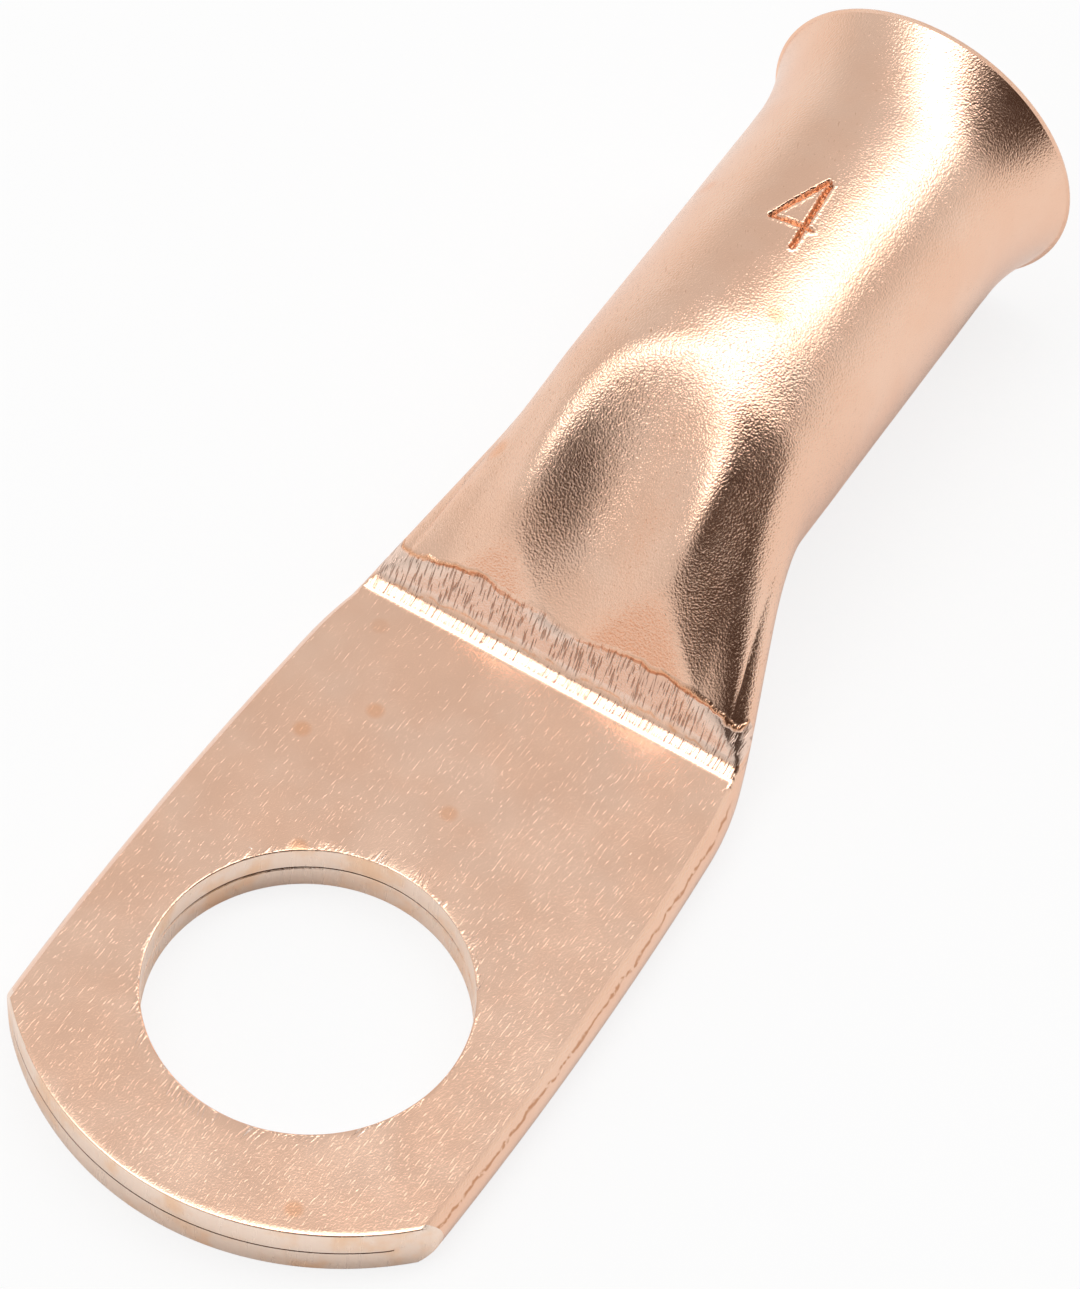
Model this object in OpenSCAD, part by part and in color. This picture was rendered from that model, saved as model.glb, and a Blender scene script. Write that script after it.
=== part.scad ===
// Copper cable lug: a length of tube, pressed flat into a bolted palm at one
// end and left round, with a belled mouth, at the other.
// Origin: bolt-hole axis on the underside of the palm. +X runs to the mouth, +Z up.

/* [Wire barrel] */
// Outside diameter of the tube
barrel_od = 9.64; // [8.5:0.02:11]
// Wall thickness of the tube
barrel_wall = 1.1; // [0.8:0.05:1.4]
// Length of the round barrel, from the end of the neck to the mouth
barrel_len = 15.5; // [10:0.5:30]
// Outside diameter of the belled mouth, which rests level with the palm
bell_od = 11.2; // [10.6:0.05:13]
// Length over which the mouth opens out
bell_len = 3.5; // [2:0.1:7]
// Thickness of the lip at the mouth
lip_wall = 0.85; // [0.5:0.05:1.1]

/* [Palm] */
// Greatest width over the folded sides
palm_w = 15.9; // [15:0.1:18]
// Thickness of the two pressed walls together
palm_t = 1.91; // [1.6:0.01:2.4]
// Radius of the gentle outward curve along each side
side_r = 150; // [80:5:400]
// Distance from the bolt hole to the widest place, towards the barrel
belly_x = 1; // [-2:0.5:5]
// How far each rounded fold stands out beyond the flat face
fold_bulge = 0.4; // [0.3:0.01:0.7]
// Diameter of the bolt hole
hole_d = 10.3; // [6.4:0.1:10.8]
// Radius of the rounded tip
tip_r = 9.83; // [8.5:0.05:14]
// Distance from the bolt hole to the end of the tip
tip_reach = 8.51; // [7.5:0.05:12]
// Hairline gap left between the two pressed walls
seam_gap = 0.06; // [0.04:0.01:0.12]

/* [Pressed neck] */
// Distance from the bolt hole to the shoulder where the flat face ends
shoulder_x = 14; // [11:0.5:20]
// Length of the neck, from the shoulder to the round barrel
neck_len = 8; // [7:0.5:14]
// How far before the shoulder the sides start to draw in
neck_lead = 2.3; // [1:0.1:3]
// Slope of the face that the press leaves at the shoulder, in degrees
step_angle = 55; // [40:1:70]
// Blend at the foot of the step
step_foot = 0.4; // [0.2:0.05:0.6]
// Blend over the lip of the step
step_lip = 0.25; // [0.1:0.05:0.4]
// Depth of the dimple pressed into the top of the neck
dimple_depth = 1.7; // [0:0.1:2.2]
// Distance from the shoulder to the deepest place of the dimple
dimple_x = 5; // [3.5:0.1:7]
// Reach of the dimple along the neck
dimple_len = 3; // [1.5:0.1:3.5]
// How far the dimple fades into the round barrel
dimple_fade = 2.5; // [2:0.1:4]
// Half width of the dimple at the shoulder
dimple_w = 2.2; // [1.5:0.1:3]

/* [Hidden] */
$fn = 96;

eps = 0.02;                                // run-out that keeps two solids overlapping
copper = [0.85, 0.6, 0.48];

barrel_r = barrel_od / 2;
bore_r = barrel_r - barrel_wall;
bell_r = bell_od / 2;
axis_z = bell_r;                           // the bell and the palm rest on one plane
neck_x = shoulder_x + neck_len;            // where the tube is fully round
pressed_x = neck_x + dimple_fade;           // where the press leaves the tube untouched
mouth_x = neck_x + barrel_len;
palm_wall = (palm_t - seam_gap) / 2;       // one of the two pressed walls

// Side fold: an arc that springs from both flat faces and bulges between them.
fold_arc_r = (pow(palm_t / 2, 2) + pow(fold_bulge, 2)) / (2 * fold_bulge);
fold_sweep = asin(palm_t / 2 / fold_arc_r);
fold_turn = 13;                            // share of the ring that lies in one fold, each way

// Shape of the pressing, as exponents of ease(): how soft it starts and ends.
side_ease = [2.0, 1.83];
top_ease = [1.1, 1.62];
floor_ease = [2.55, 2.75];
top_lead = 0.31;                           // the top starts to rise this far before the shoulder
dimple_taper = 0.16;                       // how fast the dimple narrows towards the barrel

// Rings of points: their angles, and the places along X where they stand.
fold_steps = 3;
face_steps = 25;
ring = concat(
    [for (i = [0 : 2 * fold_steps - 1]) fold_turn * (i / fold_steps - 1)],
    [for (i = [0 : face_steps - 1]) fold_turn + (180 - 2 * fold_turn) * i / face_steps],
    [for (i = [0 : 2 * fold_steps - 1]) 180 + fold_turn * (i / fold_steps - 1)],
    [for (i = [0 : face_steps - 1]) 180 + fold_turn + (180 - 2 * fold_turn) * i / face_steps]
);
blank_x = -tip_reach - 1;                  // where the pressed blank ends, before the tip is cut
step_x0 = shoulder_x - 0.5;
step_x1 = shoulder_x + 2;
outer_x = concat(
    spaced(blank_x, step_x0, 11), spaced(step_x0, step_x1, 20), spaced(step_x1, neck_x, 13),
    spaced(neck_x, pressed_x, 5), [pressed_x, pressed_x + 1]
);
inner_x = concat(
    spaced(blank_x, step_x0, 8), spaced(step_x0, step_x1, 8), spaced(step_x1, neck_x, 9),
    spaced(neck_x, pressed_x, 3), [pressed_x, pressed_x + 1]
);

function spaced(a, b, n) = [for (i = [0 : n - 1]) a + (b - a) * i / n];
function clamp(t) = min(1, max(0, t));
function mix(a, b, t) = a * (1 - t) + b * t;
function ease(x, a, b, e) = 1 - pow(1 - pow(clamp((x - a) / (b - a)), e[0]), e[1]);
function soften(a, b, k) = let (t = clamp(0.5 + 0.5 * (b - a) / k)) mix(b, a, t) - k * t * (1 - t);
function soft_min(a, b, k) = k > 0 ? soften(a, b, k) : min(a, b);
function soft_max(a, b, k) = -soft_min(-a, -b, k);

// How far the tube has gone from flat (0) to round (1), seen along X.
function round_side(x) = ease(x, shoulder_x - neck_lead, neck_x, side_ease);
function round_top(x) = ease(x, shoulder_x - top_lead, neck_x, top_ease);
function round_floor(x) = ease(x, shoulder_x - neck_lead, neck_x, floor_ease);
function round_at(x, a, top) =
    let (t = clamp(0.5 + sin(a) / 0.7)) mix(round_floor(x), top, t * t * (3 - 2 * t));

// Half the width of the flat face, without the folds.
function flat_half(x) =
    palm_w / 2 - fold_bulge - side_r + sqrt(pow(side_r, 2) - pow(x - belly_x, 2));

// Past the shoulder the fold's edge dies away and its side becomes a half round.
function fold_soft(x) = clamp((x - shoulder_x + 0.2) / 1.2);

// One point of the flattened tube, as [y, z], for a wall of radius arc about the fold.
function fold_y(x, s, inset) =
    let (bulge = mix(fold_bulge, palm_t / 2, fold_soft(x)),
         r = mix(fold_arc_r, palm_t / 2, fold_soft(x)),
         sweep = mix(fold_sweep, 90, fold_soft(x)))
    [flat_half(x) + fold_bulge - r + (r - inset) * cos(sweep * s),
     palm_t / 2 + (palm_t / 2 - inset) * sin(sweep * s) / sin(sweep)];
function flat_point(x, a, inset) =
    let (side = abs(a) < 90 || a > 270 ? 1 : -1,
         lift = asin(clamp(abs(sin(a)))) * (sin(a) < 0 ? -1 : 1),
         corner = fold_y(x, 1, inset)[0])
    abs(lift) < fold_turn
        ? let (p = fold_y(x, lift / fold_turn, inset)) [side * p[0], p[1]]
        : [corner * cos(a) / cos(fold_turn),
           palm_t / 2 + (palm_t / 2 - inset) * (lift > 0 ? 1 : -1)];

// The dimple, and the face and foot that the press leaves at the shoulder.
function dimple(x, y) =
    let (along = (x - shoulder_x - dimple_x) / dimple_len,
         half = max(0.9, dimple_w - dimple_taper * (x - shoulder_x)),
         fade = clamp((pressed_x - x) / dimple_fade))
    dimple_depth * exp(-pow(along, 2)) * exp(-pow(y / half, 2) / 2)
    * clamp((x - shoulder_x + top_lead) * 2) * fade * (2 - fade);
function step_face(x, z0, x0, foot) = soft_max(z0, z0 + (x - x0) * tan(step_angle), foot);
function lip_blend(x) = step_lip * clamp((x - shoulder_x) / 0.8);

// Outer skin of the pressed tube at station x and ring angle a.
function outer_point(x, a) =
    let (flat = flat_point(x, a, 0),
         t = round_at(x, a, round_top(x)),
         y = mix(flat[0], (barrel_r - eps / 2) * cos(a), round_side(x)),
         z = mix(flat[1], axis_z + (barrel_r - eps / 2) * sin(a), t)
             - (sin(a) > 0 ? dimple(x, y) * sin(a) : 0))
    [x, y, sin(a) > 0 ? soft_min(z, step_face(x, palm_t, shoulder_x, step_foot), lip_blend(x)) : z];

// Inner skin: the same pressing, one wall further in.
function top_line(x) = palm_t + round_top(x) * (axis_z + barrel_r - palm_t);
function top_slope(x) = (top_line(x + 0.1) - top_line(x - 0.1)) / 0.2;
function wall_at(x) = mix(palm_wall, barrel_wall, round_top(x));
function inner_top(x) =
    let (mid = palm_t / 2, crown = top_line(x) - wall_at(x) * sqrt(1 + pow(top_slope(x), 2)))
    clamp((crown - mid) / (axis_z + bore_r - mid));
function inner_skin(x, a) =
    let (flat = flat_point(x, a, palm_wall), t = round_at(x, a, inner_top(x)))
    [mix(flat[0], (bore_r + eps) * cos(a), round_side(x)),
     mix(flat[1], axis_z + (bore_r + eps) * sin(a), t)];
function inner_point(x, a) =
    let (p = inner_skin(x, a), roof = palm_t - palm_wall,
         foot = shoulder_x + barrel_wall * tan(step_angle / 2),
         ceiling = min(p[1] - dimple(x, p[0]) * sin(a), step_face(x, roof, foot, step_foot)))
    [x, p[0], sin(a) > 0 ? max(inner_skin(x, -a)[1] + seam_gap, ceiling) : p[1]];

// Closed skin through the outer rings and back through the inner ones.
module pressed_tube() {
    n = len(ring);
    skins = concat(
        [for (x = outer_x) [for (a = ring) outer_point(x, a)]],
        [for (i = [len(inner_x) - 1 : -1 : 0]) [for (a = ring) inner_point(inner_x[i], a)]]
    );
    m = len(skins);
    points = [for (r = skins) for (p = r) p];
    faces = [
        for (j = [0 : m - 1]) for (i = [0 : n - 1])
            let (p = j * n + i, q = j * n + (i + 1) % n, u = ((j + 1) % m) * n + i,
                 v = ((j + 1) % m) * n + (i + 1) % n)
            each [[p, v, q], [p, u, v]]
    ];
    polyhedron(points = points, faces = faces);
}

// Everything beyond the rounded tip, taken off the pressed blank.
module tip_trim() {
    translate([0, 0, -palm_t])
        linear_extrude(height = 3 * palm_t)
            difference() {
                translate([blank_x - 1, -palm_w])
                    square([tip_r - tip_reach - blank_x + 1, 2 * palm_w]);
                translate([tip_r - tip_reach, 0])
                    circle(r = tip_r);
            }
}

module bolt_hole() {
    translate([0, 0, -palm_t])
        cylinder(d = hole_d, h = 3 * palm_t);
}

// Outline of a bell that leaves a cylinder of radius r smoothly and ends at radius lip.
function bell_curve(r, lip, steps) =
    let (rise = lip - r, arc = (pow(bell_len, 2) + pow(rise, 2)) / (2 * rise),
         sweep = asin(bell_len / arc))
    [for (i = [0 : steps])
        let (a = sweep * i / steps) [r + arc * (1 - cos(a)), mouth_x - bell_len + arc * sin(a)]];

// The part of the tube that the press leaves round, with its belled mouth.
module round_barrel() {
    steps = 10;
    translate([0, 0, axis_z])
        rotate([0, 90, 0])
            rotate_extrude()
                polygon(concat(
                    [[bore_r, pressed_x], [barrel_r, pressed_x]],
                    bell_curve(barrel_r, bell_r, steps),
                    [for (i = [steps : -1 : 0]) bell_curve(bore_r, bell_r - lip_wall, steps)[i]]
                ));
}

module lug() {
    color(copper)
        union() {
            difference() {
                pressed_tube();
                tip_trim();
                bolt_hole();
            }
            round_barrel();
        }
}

lug();
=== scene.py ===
"""Looks of the copper cable lug: the pressed tube, its copper, and a plain studio.

The lug is made as the real one is. A length of tube is turned with a belled
mouth, one end is pressed flat into a palm, the tip is sheared, the bolt hole is
punched, and the wire size is stamped into the barrel.

Sizes in the classes are in millimetres; the finished meshes are in metres, in
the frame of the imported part: the bolt-hole axis on the underside of the palm,
+X to the mouth, +Z up.
"""

import logging
import math
from dataclasses import dataclass, field
from enum import Enum

import bmesh
import bpy
from mathutils import Matrix, Vector, noise

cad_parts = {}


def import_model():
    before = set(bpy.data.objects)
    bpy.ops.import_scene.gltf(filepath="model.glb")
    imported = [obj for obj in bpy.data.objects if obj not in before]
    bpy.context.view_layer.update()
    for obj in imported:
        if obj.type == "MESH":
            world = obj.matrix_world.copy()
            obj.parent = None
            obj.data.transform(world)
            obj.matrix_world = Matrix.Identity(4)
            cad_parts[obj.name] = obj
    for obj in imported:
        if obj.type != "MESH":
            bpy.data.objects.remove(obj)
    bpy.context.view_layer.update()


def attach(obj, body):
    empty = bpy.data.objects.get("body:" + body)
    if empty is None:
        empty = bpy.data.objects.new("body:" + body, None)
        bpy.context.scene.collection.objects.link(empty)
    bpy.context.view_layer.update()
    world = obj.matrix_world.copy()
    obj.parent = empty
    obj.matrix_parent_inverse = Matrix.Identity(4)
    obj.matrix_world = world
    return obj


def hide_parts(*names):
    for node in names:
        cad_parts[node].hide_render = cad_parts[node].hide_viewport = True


LOG = logging.getLogger("lug")

MM = 0.001
NODE = "lug"

Pair = tuple[float, float]
Triple = tuple[float, float, float]
Colour = tuple[float, float, float, float]

RISING: Pair = (0.0, 1.0)
FALLING: Pair = (1.0, 0.0)
NOISE_SPAN: Pair = (0.2, 0.8)


class Skin(Enum):
    """Which wall of the tube a vertex belongs to."""

    OUTER = 1
    LIP = 2
    INNER = 3


class Cut(Enum):
    """Material slots of the lug, in order."""

    ROLLED = 0
    SHEARED = 1


# --------------------------------------------------------------------------
# Small helpers
# --------------------------------------------------------------------------


def clamp(value: float) -> float:
    """Returns the value held between 0 and 1."""
    return min(1.0, max(0.0, value))


def mix(first: float, second: float, share: float) -> float:
    """Returns the blend of two values at a share from 0 to 1."""
    return first * (1.0 - share) + second * share


def smooth(value: float) -> float:
    """Returns a value from 0 to 1 eased at both ends."""
    held = clamp(value)
    return held * held * (3.0 - 2.0 * held)


def ease(x: float, start: float, end: float, shape: Pair) -> float:
    """Returns how far x has gone from start to end.

    Args:
        x: Place along the lug.
        start: Place where the ease is 0.
        end: Place where the ease is 1.
        shape: Exponents that say how softly it starts and ends.

    Returns:
        A share from 0 to 1.
    """
    share = clamp((x - start) / (end - start))
    return 1.0 - (1.0 - share ** shape[0]) ** shape[1]


def soft_min(first: float, second: float, blend: float) -> float:
    """Returns the lower of two values, blended where they are close.

    Args:
        first: First value.
        second: Second value.
        blend: Width of the blend; 0 gives the plain minimum.

    Returns:
        The softened minimum.
    """
    if blend <= 0.0:
        return min(first, second)
    share = clamp(0.5 + 0.5 * (second - first) / blend)
    return mix(second, first, share) - blend * share * (1.0 - share)


def soft_max(first: float, second: float, blend: float) -> float:
    """Returns the higher of two values, blended where they are close."""
    return -soft_min(-first, -second, blend)


def ringed(places: list[float], counts: tuple[int, ...]) -> list[float]:
    """Returns where the rings lie along a row of spans.

    Args:
        places: Ends of the spans, one more than there are spans.
        counts: Number of rings in each span.

    Returns:
        The rings' places, without the last end.
    """
    return [
        start + (stop - start) * i / count
        for start, stop, count in zip(places, places[1:], counts)
        for i in range(count)
    ]


def sin_deg(angle: float) -> float:
    """Returns the sine of an angle in degrees."""
    return math.sin(math.radians(angle))


def cos_deg(angle: float) -> float:
    """Returns the cosine of an angle in degrees."""
    return math.cos(math.radians(angle))


def new_object(name: str, data: bpy.types.ID) -> bpy.types.Object:
    """Returns a new object in the scene that shows the data."""
    made = bpy.data.objects.new(name, data)
    bpy.context.scene.collection.objects.link(made)
    return made


def mesh_object(name: str, bm: bmesh.types.BMesh) -> bpy.types.Object:
    """Turns a bmesh into an object in the scene and frees the bmesh.

    Args:
        name: Name of the object and its mesh.
        bm: The finished bmesh.

    Returns:
        The new object, at the origin.
    """
    mesh = bpy.data.meshes.new(name)
    bm.to_mesh(mesh)
    bm.free()
    return new_object(name, mesh)


def join_in_order(bm: bmesh.types.BMesh, verts: list[bmesh.types.BMVert]) -> None:
    """Joins each vertex to the next by an edge."""
    for first, second in zip(verts, verts[1:]):
        bm.edges.new((first, second))


def spin_round(bm: bmesh.types.BMesh, axis: Triple, steps: int) -> None:
    """Spins a section once round an axis through the origin.

    Args:
        bm: The bmesh, which holds only the section.
        axis: Direction of the axis.
        steps: Number of sides of the turned skin.
    """
    bmesh.ops.spin(
        bm,
        geom=bm.verts[:] + bm.edges[:],
        cent=(0, 0, 0),
        axis=axis,
        angle=math.tau,
        steps=steps,
        use_merge=True,
    )


# --------------------------------------------------------------------------
# Shape of the pressing
# --------------------------------------------------------------------------


@dataclass
class Pressing:
    """Where each point of a round tube ends up once the press has closed.

    The sizes of the tube, the palm, the tip, the neck and the space inside are
    the construction's own, so that the dressed lug and the solid agree. The
    sprung crown, the dished ramp, the sag and the step's skin are finer forms
    of the outside alone, kept within the solid's outline.
    """

    # Tube
    barrel_od: float = 9.64
    barrel_wall: float = 1.1
    barrel_len: float = 15.5
    bell_od: float = 11.2

    # Palm and its folded sides
    palm_w: float = 15.9
    palm_t: float = 1.91
    side_r: float = 150.0
    belly_x: float = 1.0
    fold_bulge: float = 0.4
    fold_turn: float = 90.0 / 7.0
    fold_soft_lead: float = 0.2
    fold_soft_len: float = 1.2
    seam_gap: float = 0.06

    # Sheared tip
    tip_r: float = 9.83
    tip_reach: float = 8.51
    tip_fan: float = 7.0
    rim_round: float = 0.09

    # Neck
    shoulder_x: float = 14.0
    neck_len: float = 8.0
    neck_lead: float = 2.3
    side_ease: Pair = (2.0, 1.83)
    top_ease: Pair = (1.1, 1.62)
    top_lead: float = 0.31
    floor_ease: Pair = (2.55, 2.75)
    top_band: float = 0.7

    # Crown, where the copper has sprung back up between the sides
    crown_x: float = 22.0
    crown_ease: Pair = (1.0, 2.0)
    crown_from: float = 0.6

    # Dished ramp in the top of the neck
    ramp_lead: float = 1.1
    ramp_rise: float = 1.6
    ramp_steep: float = 1.3
    ramp_steep_len: float = 1.85
    ramp_slope: float = 0.5
    ramp_swell: float = 0.23
    ramp_knee: float = 1.5
    ramp_blend: float = 2.6
    dish: float = 0.75
    dish_taper: float = 0.05
    dish_least: float = 0.02
    dish_y: float = 0.4

    # Sag where the neck meets the barrel
    sag: float = 0.42
    sag_start: float = 17.5
    sag_low: float = 20.7
    sag_end: float = 24.5
    sag_from: float = 0.5

    # Step between the palm and the neck: a shallow toe, then the face
    toe_x: float = 13.93
    toe_len: float = 0.52
    toe_slope: float = 0.44
    toe_blend: float = 0.05
    face_blend: float = 0.22
    step_lip: float = 0.25
    step_lip_len: float = 0.8

    # Ridge over the step, and how far the climb towards it is measured
    ridge_mid: float = 1.62
    ridge_wave: float = 0.14
    ridge_wave_turn: float = 1.05
    ridge_wave_shift: float = 3.0
    ridge_end_y: float = 4.4
    ridge_end_len: float = 3.0
    ridge_end_drop: float = 0.7
    climb_lead: float = 1.0
    climb_len: float = 1.7
    far_climb: float = 9.0

    # Space inside the neck
    step_angle: float = 55.0
    step_foot: float = 0.4
    dimple_depth: float = 1.7
    dimple_x: float = 5.0
    dimple_len: float = 3.0
    dimple_fade: float = 2.5
    dimple_w: float = 2.2
    dimple_w_least: float = 0.9
    dimple_taper: float = 0.16
    dimple_lead: float = 0.5
    roof_lead: float = 1.0
    wall_least: float = 0.6
    slope_reach: float = 0.1

    def __post_init__(self) -> None:
        """Works out the sizes that follow from the named ones."""
        self.barrel_r = self.barrel_od / 2
        self.bore_r = self.barrel_r - self.barrel_wall
        self.axis_z = self.bell_od / 2
        self.neck_x = self.shoulder_x + self.neck_len
        self.pressed_x = self.neck_x + self.dimple_fade
        self.mouth_x = self.neck_x + self.barrel_len
        self.palm_wall = (self.palm_t - self.seam_gap) / 2
        self.fold_arc_r = ((self.palm_t / 2) ** 2 + self.fold_bulge**2) / (
            2 * self.fold_bulge
        )
        self.fold_sweep = math.degrees(math.asin(self.palm_t / 2 / self.fold_arc_r))
        self.tip_centre = self.tip_r - self.tip_reach

    # Flat to round ---------------------------------------------------------

    def round_side(self, x: float) -> float:
        """Returns how round the sides are at x."""
        return ease(x, self.shoulder_x - self.neck_lead, self.neck_x, self.side_ease)

    def round_top(self, x: float) -> float:
        """Returns how round the top is at x."""
        return ease(x, self.shoulder_x - self.top_lead, self.neck_x, self.top_ease)

    def round_floor(self, x: float) -> float:
        """Returns how round the underside is at x."""
        return ease(x, self.shoulder_x - self.neck_lead, self.neck_x, self.floor_ease)

    def round_at(self, x: float, angle: float, top: float) -> float:
        """Returns how round the section is at x and a ring angle.

        Args:
            x: Place along the lug.
            angle: Ring angle in degrees, 90 at the top.
            top: Roundness of the top at x.

        Returns:
            A share from 0, flat, to 1, round.
        """
        share = smooth(0.5 + sin_deg(angle) / self.top_band)
        return mix(self.round_floor(x), top, share)

    def full_top(self, x: float, angle: float) -> float:
        """Returns how round the top is once the crown has sprung back up.

        Args:
            x: Place along the lug.
            angle: Ring angle in degrees, 90 at the top.

        Returns:
            A share from 0, flat, to 1, round.
        """
        plain = self.round_top(x)
        start = self.shoulder_x - self.top_lead
        crown = ease(x, start, self.crown_x, self.crown_ease)
        near = smooth((sin_deg(angle) - self.crown_from) / (1.0 - self.crown_from))
        return mix(plain, max(plain, crown), near)

    # Flat section ----------------------------------------------------------

    def flat_half(self, x: float) -> float:
        """Returns half the width of the flat face at x, without the folds."""
        bow = math.sqrt(self.side_r**2 - (x - self.belly_x) ** 2)
        return self.palm_w / 2 - self.fold_bulge - self.side_r + bow

    def fold_point(self, x: float, share: float, inset: float) -> Pair:
        """Returns a point of the side fold, which is fuller past the shoulder.

        Args:
            x: Place along the lug.
            share: From -1 at the lower edge to 1 at the upper edge.
            inset: How far inside the outer skin the point lies.

        Returns:
            The point's y and z.
        """
        soft = clamp((x - self.shoulder_x + self.fold_soft_lead) / self.fold_soft_len)
        half_t = self.palm_t / 2
        radius = mix(self.fold_arc_r, half_t, soft)
        sweep = mix(self.fold_sweep, 90.0, soft)
        y = (
            self.flat_half(x)
            + self.fold_bulge
            - radius
            + (radius - inset) * cos_deg(sweep * share)
        )
        z = half_t + (half_t - inset) * sin_deg(sweep * share) / sin_deg(sweep)
        return y, z

    def flat_point(self, x: float, angle: float, inset: float) -> Pair:
        """Returns a point of the flattened section.

        Args:
            x: Place along the lug.
            angle: Ring angle in degrees.
            inset: How far inside the outer skin the point lies.

        Returns:
            The point's y and z.
        """
        sine = sin_deg(angle)
        side = 1.0 if cos_deg(angle) > 0 else -1.0
        lift = math.degrees(math.asin(min(1.0, abs(sine))))
        lift = -lift if sine < 0 else lift
        if abs(lift) < self.fold_turn:
            y, z = self.fold_point(x, lift / self.fold_turn, inset)
            return side * y, z
        half_t = self.palm_t / 2
        corner = self.fold_point(x, 1.0, inset)[0]
        y = corner * cos_deg(angle) / cos_deg(self.fold_turn)
        return y, half_t + (half_t - inset) * (1.0 if lift > 0 else -1.0)

    # Press marks on the outside --------------------------------------------

    def ramp(self, x: float, y: float) -> float:
        """Returns the height of the dished ramp that the press leaves in the neck.

        Args:
            x: Place along the lug.
            y: Place across the lug.

        Returns:
            The height of the ramp, which rises to both sides.
        """
        run = max(0.0, x - self.shoulder_x - self.ramp_lead)
        past = run - self.ramp_steep_len
        steep = self.ramp_steep * run
        gentle = self.ramp_steep * self.ramp_steep_len + self.ramp_slope * past
        gentle += self.ramp_swell * max(0.0, past) ** 2 / 2
        rise = self.ramp_rise + soft_min(steep, gentle, self.ramp_knee)
        curve = max(self.dish_least, self.dish - self.dish_taper * run)
        return self.palm_t + rise + curve * (y - self.dish_y) ** 2 / 2

    def sagged(self, x: float, sine: float) -> float:
        """Returns how far the top has sagged where the neck meets the barrel.

        Args:
            x: Place along the lug.
            sine: Sine of the ring angle, 1 at the top.

        Returns:
            The drop at that place.
        """
        rising = smooth((x - self.sag_start) / (self.sag_low - self.sag_start))
        falling = smooth((self.sag_end - x) / (self.sag_end - self.sag_low))
        near = smooth((sine - self.sag_from) / (1.0 - self.sag_from))
        return self.sag * rising * falling * near

    def skin_step(self, x: float) -> float:
        """Returns the height of the step's skin: a shallow toe, then the face.

        Args:
            x: Place along the lug.

        Returns:
            The height at x.
        """
        toe = soft_max(0.0, (x - self.toe_x) * self.toe_slope, self.toe_blend)
        top = self.toe_x + self.toe_len
        start = self.toe_len * self.toe_slope
        ridge_x = self.shoulder_x + self.ramp_lead
        steep = (self.ramp_rise - start) / (ridge_x - top)
        return self.palm_t + soft_max(toe, start + (x - top) * steep, self.face_blend)

    def ridge_rise(self, y: float) -> float:
        """Returns how high above the palm the ridge over the step runs.

        Args:
            y: Place across the lug.

        Returns:
            The rise, which waves across the lug and falls at both ends.
        """
        ends = smooth((abs(y) - self.ridge_end_y) / self.ridge_end_len)
        wave = math.cos(self.ridge_wave_turn * (y + self.ridge_wave_shift))
        return self.ridge_mid + self.ridge_wave * wave - self.ridge_end_drop * ends

    def climb_at(self, x: float, y: float, z: float) -> float:
        """Returns how far up the step a point of the top lies.

        Args:
            x: Place along the lug.
            y: Place across the lug.
            z: Height.

        Returns:
            0 at the step's foot, 1 at its ridge, and far_climb beyond the step.
        """
        if x > self.shoulder_x + self.climb_len:
            return self.far_climb
        if x <= self.shoulder_x - self.climb_lead:
            return 0.0
        return max(0.0, (z - self.palm_t) / self.ridge_rise(y))

    def outer(self, x: float, angle: float) -> Triple:
        """Returns a point of the outer skin.

        Args:
            x: Place along the lug.
            angle: Ring angle in degrees.

        Returns:
            The point's y and z, and how far up the step it lies.
        """
        flat_y, flat_z = self.flat_point(x, angle, 0.0)
        sine = sin_deg(angle)
        share = self.round_at(x, angle, self.full_top(x, angle))
        y = mix(flat_y, self.barrel_r * cos_deg(angle), self.round_side(x))
        z = mix(flat_z, self.axis_z + self.barrel_r * sine, share)
        if sine <= 0:
            return y, z, self.climb_at(x, y, self.palm_t)
        z -= self.sagged(x, sine)
        blend = self.ramp_blend * smooth(x - self.shoulder_x + self.top_lead)
        z = soft_min(z, self.ramp(x, y), blend)
        lip = self.step_lip * clamp((x - self.shoulder_x) / self.step_lip_len)
        z = soft_min(z, self.skin_step(x), lip)
        return y, z, self.climb_at(x, y, z)

    # Space inside ----------------------------------------------------------

    def dimple(self, x: float, y: float) -> float:
        """Returns how deep the press has pushed the roof of the neck in.

        Args:
            x: Place along the lug.
            y: Place across the lug.

        Returns:
            The depth at that place.
        """
        run = x - self.shoulder_x
        along = (run - self.dimple_x) / self.dimple_len
        half = max(self.dimple_w_least, self.dimple_w - self.dimple_taper * run)
        fade = clamp((self.pressed_x - x) / self.dimple_fade)
        shape = math.exp(-(along**2)) * math.exp(-((y / half) ** 2) / 2)
        lead = clamp((run + self.top_lead) / self.dimple_lead)
        return self.dimple_depth * shape * lead * fade * (2 - fade)

    def step_roof(self, x: float) -> float:
        """Returns the height of the roof that slopes up behind the step.

        Args:
            x: Place along the lug.

        Returns:
            The height at x.
        """
        roof = self.palm_t - self.palm_wall
        half = math.tan(math.radians(self.step_angle / 2))
        foot = self.shoulder_x + self.barrel_wall * half
        rise = (x - foot) * math.tan(math.radians(self.step_angle))
        return soft_max(roof, roof + rise, self.step_foot)

    def wall_at(self, x: float) -> float:
        """Returns the thickness of the wall along the top at x."""
        return mix(self.palm_wall, self.barrel_wall, self.round_top(x))

    def crown(self, x: float) -> float:
        """Returns the height of the top line at x, without the press marks."""
        return self.palm_t + self.round_top(x) * (
            self.axis_z + self.barrel_r - self.palm_t
        )

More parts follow.
